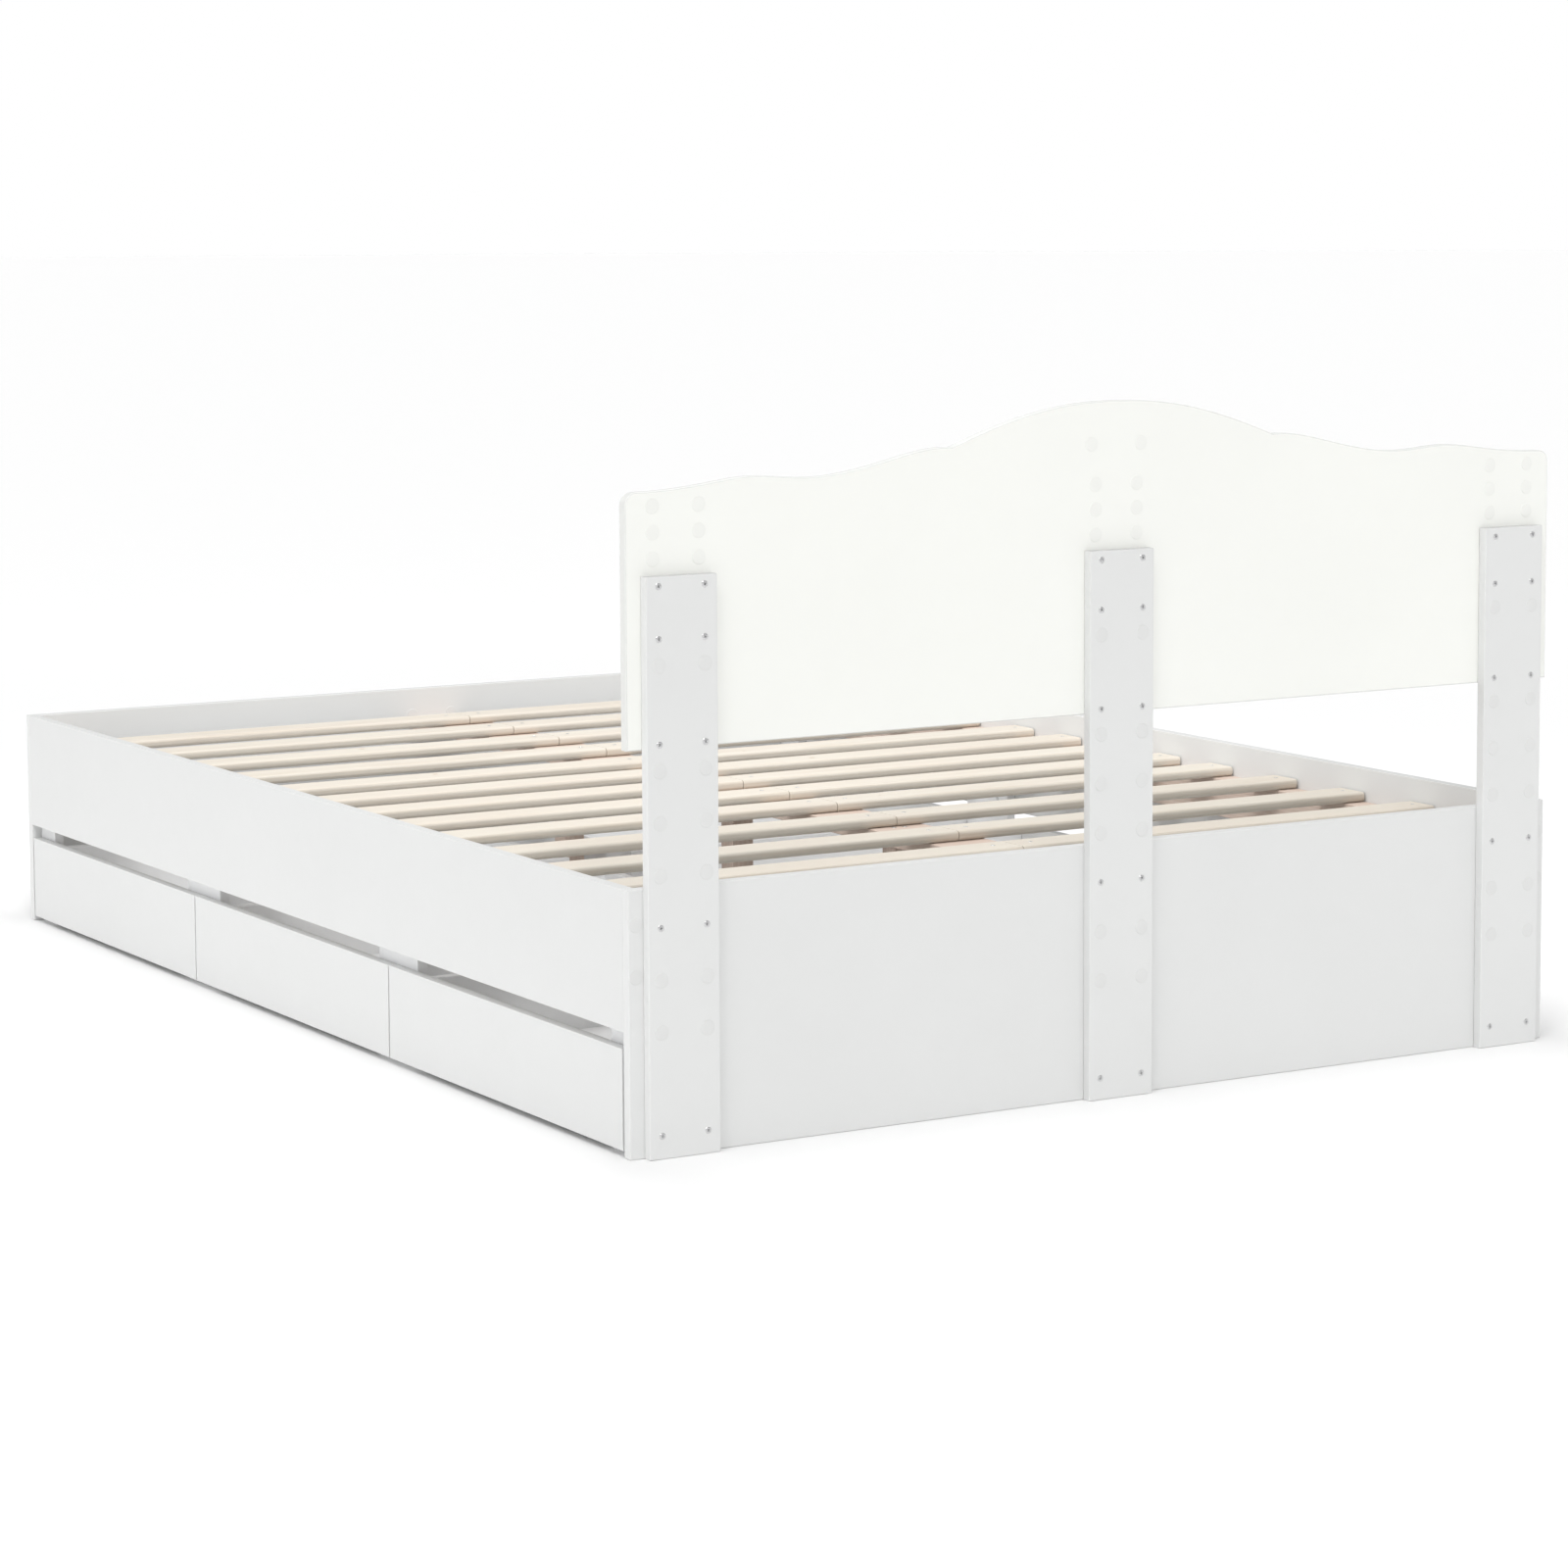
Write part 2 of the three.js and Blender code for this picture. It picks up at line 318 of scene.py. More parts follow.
def sprayed_board():
    """White paint sprayed on moulded board: bright, smooth, with an orange peel, painted shade on its
    edges and darker painted shade on its upper edges.
    """
    coat = Finish("sprayed_headboard_white", IOR=1.5, Coat_Weight=0.08, Coat_Roughness=0.25)
    place = coat.place()
    cloud = coat.noise(place, scale=3.5, detail=3.0)
    peel = coat.noise(place, scale=260.0)
    tone = coat.mix(
        coat.spread(cloud, 0.3, 0.7), color(0.824, 0.83, 0.796), color(0.807, 0.813, 0.78))
    # Painted shade: the rounded and banded edges are mixed towards grey, and those that face up
    # towards a darker grey.
    edge = coat.spread(coat.attribute("edge"), 0.2, BANDED)
    tone = coat.mix(edge, tone, color(0.69, 0.695, 0.675))
    top_edge_painted_shade = coat.math("MULTIPLY", coat.facing_up(), edge)
    tone = coat.mix(top_edge_painted_shade, tone, color(0.58, 0.585, 0.57))
    rough = coat.spread(cloud, 0.3, 0.7, 0.3, 0.38)
    return coat.finish(tone, rough, coat.bump(peel, 0.25, 0.15 * MM))


def pine(name, early, late, blush, knot, ring_contrast):
    """Planed softwood: growth rings round a distant pith, fibres, blotches and a few sound knots."""
    wood = Finish(name, IOR=1.45)
    grain = wood.attribute("grain", "Vector")

    drift_place = wood.stretch(grain, (1.3, 9.0, 9.0))
    drift = wood.node("TexNoise", Vector=drift_place, Scale=1.0, Detail=2.0)
    drift = wood.vector_math("SUBTRACT", drift.outputs["Color"], (0.5, 0.5, 0.5))
    drift = wood.vector_math("MULTIPLY", drift, (0.0, 0.022, 0.022))
    ring_place = wood.stretch(wood.vector_math("ADD", grain, drift), (0.04, 1.0, 1.0))
    wave = {"wave_type": "RINGS", "rings_direction": "X", "wave_profile": "SIN"}
    rings = wood.node("TexWave", wave, Vector=ring_place, Scale=62.0, Distortion=1.4, Detail=2.0)
    rings = wood.math("POWER", rings.outputs["Fac"], 2.6)

    fibre_place = wood.stretch(grain, (14.0, 900.0, 900.0))
    fibres = wood.noise(fibre_place, scale=1.0, detail=3.0, roughness=0.6)
    blotch_place = wood.stretch(grain, (2.6, 16.0, 16.0))
    blotches = wood.noise(blotch_place, scale=1.0, detail=3.0, roughness=0.55)

    cells_along, cells_across = 2.1, 13.0
    cells = wood.stretch(grain, (cells_along, cells_across, 0.0))
    knots = wood.node("TexVoronoi", {"voronoi_dimensions": "2D"}, Vector=cells, Scale=1.0)
    away = wood.vector_math("SUBTRACT", cells, knots.outputs["Position"])
    away = wood.vector_math("MULTIPLY", away, (1 / cells_along, 1 / cells_across, 0.0))
    away = wood.vector_math("LENGTH", away, (0.0, 0.0, 0.0), "Value")
    size = wood.node("SeparateColor", Color=knots.outputs["Color"]).outputs["Red"]
    size = wood.spread(size, 0.68, 1.0, 0.0, 6 * MM)
    heart = wood.spread(wood.math("SUBTRACT", size, away), 0.0, 2 * MM, smooth=True)
    halo = wood.math("SUBTRACT", wood.math("MULTIPLY", size, 2.2), away)
    halo = wood.spread(halo, 0.0, 6 * MM)

    tone = wood.mix(wood.spread(blotches, 0.35, 0.68), early, blush)
    tone = wood.mix(wood.math("MULTIPLY", rings, ring_contrast), tone, late)
    tone = wood.mix(wood.math("MULTIPLY", halo, 0.25), tone, late)
    tone = wood.mix(wood.math("MULTIPLY", heart, 0.6), tone, knot)
    streak = wood.spread(fibres, 0.25, 0.75, 0.93, 1.05)
    bright = wood.node("HueSaturation", Color=tone, Value=streak).outputs["Color"]

    rough = wood.spread(fibres, 0.3, 0.7, 0.58, 0.72)
    rough = wood.math("SUBTRACT", rough, wood.math("MULTIPLY", rings, 0.1))
    raised = wood.bump(rings, 0.25, 0.12 * MM)
    return wood.finish(bright, rough, wood.bump(fibres, 0.4, 0.15 * MM, raised))


def screw_steel():
    """Zinc-plated steel with fine marks in its brightness and gloss."""
    metal = Finish("zinc_screw_steel", Metallic=1.0)
    marks = metal.noise(metal.place(), scale=900.0, detail=3.0, roughness=0.6)
    tone = metal.mix(marks, color(0.52, 0.525, 0.53), color(0.72, 0.72, 0.72))
    rough = metal.spread(marks, 0.3, 0.7, 0.22, 0.36)
    return metal.finish(tone, rough, metal.bump(marks, 0.3, 0.1 * MM))


def moulded_plastic(name, light, shade, rough_low, rough_high, grain_scale):
    plastic = Finish(name, IOR=1.46)
    place = plastic.place()
    cloud = plastic.noise(place, scale=30.0, detail=3.0)
    texture = plastic.noise(place, scale=grain_scale)
    tone = plastic.mix(plastic.spread(cloud, 0.3, 0.7), light, shade)
    rough = plastic.spread(texture, 0.3, 0.7, rough_low, rough_high)
    return plastic.finish(tone, rough, plastic.bump(texture, 0.3, 0.08 * MM))


def studio_floor():
    floor = Finish("pale_studio_floor", IOR=1.4)
    place = floor.place()
    cloud = floor.spread(floor.noise(place, scale=0.7, detail=3.0), 0.3, 0.7)
    away = floor.vector_math("LENGTH", place, (0.0, 0.0, 0.0), "Value")
    tone = floor.mix(cloud, color(0.91, 0.91, 0.91), color(0.895, 0.895, 0.895))
    tone = floor.mix(floor.spread(away, *FLOOR_FADE), tone, color(1.0, 1.0, 1.0))
    rough = floor.spread(floor.noise(place, scale=60.0), 0.3, 0.7, 0.55, 0.65)
    return floor.finish(tone, rough)


WHITE_BOARD = coated_board(
    "white_coated_board",
    light=color(0.682, 0.687, 0.682),
    shade=color(0.67, 0.675, 0.67),
    pore_depth=0.1 * MM,
)
# Painted light: a lighter copy of the white board for the leg boards and the drawer trays, standing
# in for light inside the bed.
LIGHTENED_INNER_BOARD = coated_board(
    "white_board_lightened_inside",
    light=color(0.78, 0.785, 0.79),
    shade=color(0.765, 0.77, 0.775),
    pore_depth=0.15 * MM,
)
HEADBOARD_WHITE = sprayed_board()
SLAT_PINE = pine(
    "planed_slat_pine",
    early=color(0.625, 0.585, 0.515),
    late=color(0.535, 0.454, 0.354),
    blush=color(0.616, 0.561, 0.49),
    knot=color(0.44, 0.325, 0.22),
    ring_contrast=0.3,
)
RAW_PINE = pine(
    "raw_frame_pine",
    early=color(0.585, 0.485, 0.42),
    late=color(0.485, 0.355, 0.28),
    blush=color(0.56, 0.445, 0.38),
    knot=color(0.3, 0.16, 0.1),
    ring_contrast=0.4,
)
STEEL = screw_steel()
CAP_WHITE = moulded_plastic(
    "white_cover_cap",
    light=color(0.662, 0.666, 0.66),
    shade=color(0.65, 0.654, 0.648),
    rough_low=0.45,
    rough_high=0.55,
    grain_scale=800.0,
)
HEADBOARD_CAP_WHITE = moulded_plastic(
    "white_headboard_cap",
    light=color(0.79, 0.796, 0.765),
    shade=color(0.775, 0.78, 0.75),
    rough_low=0.4,
    rough_high=0.5,
    grain_scale=800.0,
)
BLACK_NYLON = moulded_plastic(
    "black_castor_nylon",
    light=color(0.03, 0.03, 0.032),
    shade=color(0.045, 0.045, 0.045),
    rough_low=0.35,
    rough_high=0.5,
    grain_scale=500.0,
)


# ---- Mesh helpers ----

def start_mesh():
    """An empty bmesh with the two attribute layers, which have to be there before its vertices."""
    bm = bmesh.new()
    bm.faces.layers.float.new("edge")
    bm.verts.layers.float_vector.new("grain")
    return bm


def link_object(name, data):
    made = bpy.data.objects.new(name, data)
    bpy.context.scene.collection.objects.link(made)
    return made


def mesh_from(bm, name):
    mesh = bpy.data.meshes.new(name)
    bm.to_mesh(mesh)
    bm.free()
    return mesh


def make_piece(name, bm, body, material, replaces=()):
    """A finished piece from a bmesh: shaded smooth across its rounded edges, flat on its faces."""
    bmesh.ops.recalc_face_normals(bm, faces=bm.faces)
    mesh = mesh_from(bm, name)
    mesh.shade_smooth()
    mesh.set_sharp_from_angle(angle=SHARP_ANGLE)
    mesh.materials.append(material)
    piece = link_object(name, mesh)
    even = piece.modifiers.new("even_normals", "WEIGHTED_NORMAL")
    even.keep_sharp = True
    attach(piece, body)
    if replaces:
        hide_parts(*replaces)
    return piece


def add_block(bm, low, high, edge, segments=2):
    """A box with rounded edges. Returns its vertices. Its faces carry the edge attribute."""
    mark = bm.faces.layers.float["edge"]
    low, high = Vector(low), Vector(high)
    size = high - low
    made = bmesh.ops.create_cube(bm, size=1.0)["verts"]
    for vert in made:
        vert.co = low + Vector((0.5 + vert.co[i]) * size[i] for i in range(3))
    thin = min(range(3), key=lambda axis: size[axis])
    edges = {line for vert in made for line in vert.link_edges}
    faces = {face for vert in made for face in vert.link_faces}
    for face in faces:
        face.normal_update()
        face[mark] = 0.0 if abs(face.normal[thin]) > 0.5 else BANDED
    bevelled = bmesh.ops.bevel(
        bm, geom=list(edges), offset=edge, segments=segments, profile=0.5, affect="EDGES")
    for face in bevelled["faces"]:
        face[mark] = WORN
    kept = [face for face in [*faces, *bevelled["faces"]] if face.is_valid]
    return list({vert for face in kept for vert in face.verts})


def skin(bm, rings):
    """Faces between neighbouring rings of points, closed by a face at each end."""
    made = [[bm.verts.new(point) for point in ring] for ring in rings]
    count = len(made[0])
    for one, two in zip(made, made[1:]):
        for i in range(count):
            bm.faces.new((one[i], one[(i + 1) % count], two[(i + 1) % count], two[i]))
    bm.faces.new(list(reversed(made[0])))
    bm.faces.new(made[-1])
    return [vert for ring in made for vert in ring]


def turned(bm, centre, direction, profile, count=24):
    """A turned form from (radius, height) steps along a direction from centre."""
    turn = Z_AXIS.rotation_difference(direction).to_matrix()
    rings = []
    for radius, height in profile:
        ring = []
        for i in range(count):
            angle = math.tau * i / count
            point = Vector((radius * math.cos(angle), radius * math.sin(angle), height))
            ring.append(centre + turn @ point)
        rings.append(ring)
    return skin(bm, rings)


def set_grain(bm, verts, along):
    """Writes the plank's own coordinates to its vertices: lengthwise first, from a random log."""
    layer = bm.verts.layers.float_vector["grain"]
    order = {0: (0, 1, 2), 1: (1, 0, 2), 2: (2, 0, 1)}[along]
    angle = random.uniform(0, math.tau)
    pith = random.uniform(30 * MM, 110 * MM)
    shift = Vector((random.uniform(0, 60), pith * math.cos(angle), pith * math.sin(angle)))
    centre = sum((vert.co for vert in verts), Vector()) / len(verts)
    for vert in verts:
        own = vert.co - centre
        vert[layer] = Vector(own[axis] for axis in order) + shift


# ---- Small fittings ----

def cross_radius(angle):
    """Distance from the centre of a cross recess to its edge, at an angle."""
    across = max(abs(math.cos(angle)), 1e-9)
    up = max(abs(math.sin(angle)), 1e-9)
    lying = min(CROSS_ARM / across, CROSS_HALF_WIDTH / up)
    standing = min(CROSS_HALF_WIDTH / across, CROSS_ARM / up)
    return max(lying, standing)


def add_screw(bm, centre, direction, radius=SCREW_RADIUS):
    """A raised countersunk head with a cross recess, its rim at the surface. Turned at random."""
    corner = math.atan2(CROSS_HALF_WIDTH, CROSS_ARM)
    between = [math.radians(30), math.radians(45), math.radians(60)]
    quarter = [0.0, corner, *between, math.pi / 2 - corner]
    angles = [start * math.pi / 2 + angle for start in range(4) for angle in quarter]
    turn = Z_AXIS.rotation_difference(direction).to_matrix()
    turn = turn @ Matrix.Rotation(random.uniform(0, math.tau), 3, "Z")
    share = radius / SCREW_RADIUS

    def ring(reach, height):
        points = [Vector((reach(a) * math.cos(a), reach(a) * math.sin(a), height)) for a in angles]
        return [centre + turn @ point for point in points]

    rings = [
        ring(lambda a: 0.45 * radius, -2.2 * MM * share),
        ring(lambda a: 0.97 * radius, -0.35 * MM * share),
        ring(lambda a: radius, -0.2 * MM * share),
        ring(lambda a: 0.9 * radius, 0.1 * MM * share),
        ring(lambda a: 0.72 * radius, 0.35 * MM * share),
        ring(lambda a: share * cross_radius(a) * 1.02, 0.5 * MM * share),
        ring(lambda a: share * cross_radius(a) * 0.72, -0.6 * RECESS_DEPTH * share),
        ring(lambda a: share * CROSS_BOTTOM, -RECESS_DEPTH * share),
    ]
    skin(bm, rings)


def add_slat_screw(bm, centre, direction):
    add_screw(bm, centre, direction, SLAT_SCREW_RADIUS)


def add_cap(bm, centre, direction):
    """A round cover cap: a thin disc with a soft rim."""
    profile = [
        (CAP_RADIUS, -0.3 * MM),
        (CAP_RADIUS, 0.45 * CAP_HEIGHT),
        (CAP_RADIUS - 0.25 * MM, 0.85 * CAP_HEIGHT),
        (CAP_RADIUS - 0.8 * MM, CAP_HEIGHT),
        (0.4 * CAP_RADIUS, CAP_HEIGHT),
    ]
    turned(bm, centre, direction, profile, 40)


def fittings(name, points, direction, add, body, material):
    """Several equal fittings that face one way, as one piece."""
    bm = start_mesh()
    for point in points:
        add(bm, Vector(point), Vector(direction))
    make_piece(name, bm, body, material)


def screws(name, points, direction, body="frame", add=add_screw):
    fittings(name, points, direction, add, body, STEEL)


def caps(name, points, direction, material=CAP_WHITE):
    fittings(name, points, direction, add_cap, "frame", material)


# ---- Boards ----

def stand_for(node, body="frame", material=WHITE_BOARD):
    """A coated board with rounded, banded edges in the place of a CAD board."""
    low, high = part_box(node)
    bm = start_mesh()
    add_block(bm, low, high, BOARD_EDGE)
    make_piece(f"{node}_board", bm, body, material, [node])


def cut(piece, cutter_bm):
    """Cuts the cutter's solids out of a piece for good."""
    bmesh.ops.recalc_face_normals(cutter_bm, faces=cutter_bm.faces)
    mesh = mesh_from(cutter_bm, "cutter")
    cutter = link_object("cutter", mesh)
    boolean = piece.modifiers.new("cut", "BOOLEAN")
    boolean.operation = "DIFFERENCE"
    boolean.solver = "EXACT"
    boolean.object = cutter
    piece.modifiers.move(len(piece.modifiers) - 1, 0)
    with bpy.context.temp_override(object=piece, active_object=piece):
        bpy.ops.object.modifier_apply(modifier="cut")
    piece.data.set_sharp_from_angle(angle=SHARP_ANGLE)
    bpy.data.objects.remove(cutter)
    bpy.data.meshes.remove(mesh)


def countersink(piece, points, direction):
    """Cuts a conical seat for a screw at each point."""
    mouth = SCREW_RADIUS + COUNTERSINK_MARGIN
    profile = [(0.4 * SCREW_RADIUS, -3 * MM), (mouth, 0.0), (mouth, MM)]
    bm = start_mesh()
    for point in points:
        turned(bm, Vector(point), Vector(direction), profile, 28)
    cut(piece, bm)


def post_columns(low):
    """The two columns of fixings on a post, from its lower corner."""
    return (low.x + POST_COLUMN, low.x + POST_COLUMN + 2 * GRID)


def make_post(side):
    """A headboard post: its outer face lies under the cover caps, which reach the CAD post's face."""
    node = f"headboard_post_{side}"
    low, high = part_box(node)
    high.y -= CAP_HEIGHT
    bm = start_mesh()
    add_block(bm, low, high, BOARD_EDGE)
    post = make_piece(f"{node}_board", bm, "frame", WHITE_BOARD, [node])
    seats = [(x, high.y, z) for x in post_columns(low) for z in POST_SCREW_HEIGHTS]
    covered = [(x, high.y, z) for x in post_columns(low) for z in POST_CAP_HEIGHTS]
    countersink(post, seats, Y_AXIS)
    sunk = [Vector(point) - POST_SCREW_DEPTH * Y_AXIS for point in seats]
    screws(f"{node}_screws", sunk, Y_AXIS)
    caps(f"{node}_caps", covered, Y_AXIS)


def bezier(start, first, second, end, steps=24):
    """Points along a cubic curve, without its end."""
    points = []
    for i in range(steps):
        t = i / steps
        weights = ((1 - t) ** 3, 3 * t * (1 - t) ** 2, 3 * t * t * (1 - t), t ** 3)
        pair = zip(start, first, second, end)
        points.append(tuple(sum(w * part for w, part in zip(weights, parts)) for parts in pair))
    return points


def headboard_outline(half_width, peak, bottom):
    """The scalloped outline, from the middle of the top edge to the right and all the way round."""
    def at(x, drop):
        return (x * MM, peak - drop * MM)

    corner = HEADBOARD_CORNER
    shoulder = (half_width - corner, peak - HEADBOARD_SHOULDER_DROP)
    half = bezier(at(0, 0), at(85, 0), at(150, 14), at(249, 51.5))
    half += bezier(at(249, 51.5), at(305, 46), at(372, 80.5), at(457, 80.5))
    half += bezier(at(457, 80.5), at(487, 80.5), at(510, 75.7), at(538, 75.7), 12)
    half += bezier(at(538, 75.7), at(575, 75.7), at(620, 88.8), shoulder)
    for i in range(9):
        angle = math.pi / 2 * (1 - i / 8)
        x = shoulder[0] + corner * math.cos(angle)
        half.append((x, shoulder[1] - corner + corner * math.sin(angle)))
    half.append((half_width, bottom))
    mirrored = [(-x, z) for x, z in reversed(half[1:])]
    return half + mirrored


def make_headboard():
    """The scalloped panel with its rounded outline, and the caps over each post."""
    node = "headboard_panel"
    low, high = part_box(node)
    outline = headboard_outline(high.x, high.z, low.z)
    bm = start_mesh()
    mark = bm.faces.layers.float["edge"]
    back = [bm.verts.new((x, high.y, z)) for x, z in outline]
    front = [bm.verts.new((x, low.y, z)) for x, z in outline]
    back_face = bm.faces.new(back)
    front_face = bm.faces.new(list(reversed(front)))
    count = len(outline)
    for i in range(count):
        face = bm.faces.new((back[i], front[i], front[(i + 1) % count], back[(i + 1) % count]))
        face[mark] = BANDED
    bmesh.ops.recalc_face_normals(bm, faces=bm.faces)
    roundings = ((front_face, HEADBOARD_FRONT_EDGE, 5), (back_face, HEADBOARD_BACK_EDGE, 3))
    for face, width, segments in roundings:
        made = bmesh.ops.bevel(
            bm, geom=list(face.edges), offset=width, segments=segments, profile=0.5, affect="EDGES")
        for rounded in made["faces"]:
            rounded[mark] = BANDED
    make_piece("headboard_panel_board", bm, "frame", HEADBOARD_WHITE, [node])

    covered = []
    for side, rows in HEADBOARD_CAP_ROWS.items():
        post_low, post_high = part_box(f"headboard_post_{side}")
        middle = (post_low.x + post_high.x) / 2
        for x in post_columns(post_low):
            for row in range(rows):
                z = post_high.z + HEADBOARD_CAP_LIFT + row * GRID
                if row == TOP_CAP_ROW:
                    z += TOP_CAP_LIFT
                    x += TOP_CAP_SPREAD if x > middle else -TOP_CAP_SPREAD
                covered.append((x, high.y, z))
    caps("headboard_caps", covered, Y_AXIS, HEADBOARD_CAP_WHITE)


def make_end_panels():
    """Both end panels, with caps over the beam's screws, and on the head panel over the rails'."""
    for node, outward in (("head_end_panel", 1), ("foot_end_panel", -1)):
        low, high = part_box(node)
        stand_for(node)
        if outward > 0:
            rail_x = high.x - RAIL_CAP_INSET
            over_rails = [
                (sign * rail_x, high.y, z) for sign in SIDES.values() for z in RAIL_CAP_HEIGHTS]
            caps(f"{node}_caps", over_rails, Y_AXIS)
        inner = low.y if outward > 0 else high.y
        over_beam = [(sign * BEAM_CAP_REACH, inner, BEAM_CAP_HEIGHT) for sign in SIDES.values()]
        caps(f"{node}_beam_caps", over_beam, -outward * Y_AXIS)


def make_side(side):
    """A side rail, and the leg boards behind it that carry it, with their screws."""
    stand_for(f"side_rail_{side}")
    points = []
    for number in LEG_BOARD_NUMBERS:
        node = f"leg_board_{side}_{number}"
        stand_for(node, material=LIGHTENED_INNER_BOARD)
        low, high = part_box(node)
        face = low.x if SIDES[side] > 0 else high.x
        middle = (low.y + high.y) / 2
        reach = LEG_SCREW_REACH * (high.y - low.y)
        points += [(face, middle + turn * reach, z) for turn in (-1, 1) for z in LEG_SCREW_HEIGHTS]
    screws(f"leg_board_{side}_screws", points, -SIDES[side] * X_AXIS)


# ---- Pine slats, ledgers and beam ----

def make_plank(node, along):
    """A pine plank with rounded edges in the place of a CAD plank, its grain along one axis."""
    low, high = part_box(node)
    bm = start_mesh()
    verts = add_block(bm, low, high, PLANK_EDGE)
    set_grain(bm, verts, along)
    make_piece(f"{node}_plank", bm, "frame", RAW_PINE, [node])


def slat_section(half_width, thickness, shrink):
    """A rounded rectangle in the YZ plane, centred on Y, its bottom at 0, pulled in by shrink."""
    radius = SLAT_RADIUS
    points = []
    centres = ((1, 0), (1, 1), (-1, 1), (-1, 0))
    for quarter, (across, up) in enumerate(centres):
        y = across * (half_width - radius)
        z = thickness - radius if up else radius
        for step in range(SLAT_CORNER_STEPS + 1):
            angle = -math.pi / 2 + quarter * math.pi / 2 + step / SLAT_CORNER_STEPS * math.pi / 2
            reach = radius - shrink
            points.append((y + reach * math.cos(angle), z + reach * math.sin(angle)))
    return points


def make_slat(node):
    """A half slat, rounded along both edges and softened at its ends."""
    low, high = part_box(node)
    middle = (low.y + high.y) / 2
    part = 0.3 * SLAT_END
    ends = [
        (low.x, SLAT_END),
        (low.x + part, part),
        (low.x + SLAT_END, 0.0),
        (high.x - SLAT_END, 0.0),
        (high.x - part, part),
        (high.x, SLAT_END),
    ]
    bm = start_mesh()
    rings = []
    for x, shrink in ends:
        section = slat_section((high.y - low.y) / 2, high.z - low.z, shrink)
        rings.append([(x, middle + y, low.z + z) for y, z in section])
    verts = skin(bm, rings)
    set_grain(bm, verts, 0)
    make_piece(f"{node}_plank", bm, "frame", SLAT_PINE, [node])
    return middle, high.z


def make_slats():
    """Rows of two half slats, each half screwed down at its two ends."""
    points = []
    for number in range(1, SLAT_COUNT + 1):
        for side, sign in SIDES.items():
            middle, top = make_slat(f"slat_{number:02d}_{side}")
            for distance in SLAT_SCREW_DISTANCES:
                points.append((sign * distance, middle, top + SLAT_SCREW_LIFT))
    screws("slat_screws", points, Z_AXIS, add=add_slat_screw)


def make_supports():
    """Ledgers along the rails, the centre beam and its legs, and their screws."""
    for side, sign in SIDES.items():
        node = f"slat_ledger_{side}"
        make_plank(node, 1)
        low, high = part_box(node)
        face = low.x if sign > 0 else high.x
        first, last = high.y - LEDGER_SCREW_INSET, low.y + LEDGER_SCREW_INSET
        points = []
        for i in range(LEDGER_SCREW_COUNT):
            y = first + (last - first) * i / (LEDGER_SCREW_COUNT - 1)
            z = low.z + LEDGER_SCREW_HEIGHTS[i % 2]
            points.append((face - sign * LEDGER_SCREW_LIFT, y, z))
        screws(f"{node}_screws", points, -sign * X_AXIS)
    make_plank("centre_beam", 1)
    beam_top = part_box("centre_beam")[1].z
    heads = []
    for number in CENTRE_LEGS:
        node = f"centre_leg_{number}"
        make_plank(node, 2)
        low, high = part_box(node)
        middle = (low.y + high.y) / 2
        for x in (-BEAM_SCREW_REACH, BEAM_SCREW_REACH):
            heads.append((x, middle, beam_top + BEAM_SCREW_LIFT))
    screws("centre_beam_screws", heads, Z_AXIS)


# ---- Drawers ----

def add_castor(bm_wheel, bm_plate, bm_steel, x, y, facing):
    """A small fixed castor on the inner face of a drawer side. facing is +1 or -1 along Y."""
    half = CASTOR_HALF_WIDTH
    rim = [
        (CASTOR_HUB, -half),
        (CASTOR_RADIUS - 5 * MM, -half),
        (CASTOR_RADIUS - 4 * MM, -half + 1.2 * MM),
        (CASTOR_RADIUS - 2.5 * MM, -half),
        (CASTOR_RADIUS - 1 * MM, -half + 0.3 * MM),
        (CASTOR_RADIUS, -half + 1.6 * MM),
    ]
    wheel = rim + [(radius, -height) for radius, height in reversed(rim)]
    wheel_y = y + facing * (CASTOR_BOARD_GAP + half)
    centre = Vector((x, wheel_y, CASTOR_RADIUS + CASTOR_CLEARANCE))
    turned(bm_wheel, centre, Y_AXIS, wheel, 36)

    ends = sorted((y, y + facing * CASTOR_PLATE))
    for reach, bottom, top in CASTOR_PLATE_BLOCKS:
        corners = (x - reach, ends[0], bottom), (x + reach, ends[1], top)
        add_block(bm_plate, *corners, CASTOR_PLATE_EDGE, 3)

    axle = [
        (1.6 * MM, -1 * MM),
        (2 * MM, -0.6 * MM),
        (2 * MM, 16.4 * MM),
        (3 * MM, 16.6 * MM),
        (2.6 * MM, 17.6 * MM),
    ]
    outward = facing * Y_AXIS
    axle_start = Vector((x, y + facing * CASTOR_AXLE_START, centre.z))
    turned(bm_steel, axle_start, outward, axle, 20)
    screw_y = y + facing * (CASTOR_PLATE + CASTOR_SCREW_LIFT)
    for step in (-CASTOR_SCREW_REACH, CASTOR_SCREW_REACH):
        point = Vector((x + step, screw_y, CASTOR_SCREW_HEIGHT))
        add_screw(bm_steel, point, outward, CASTOR_SCREW_RADIUS)


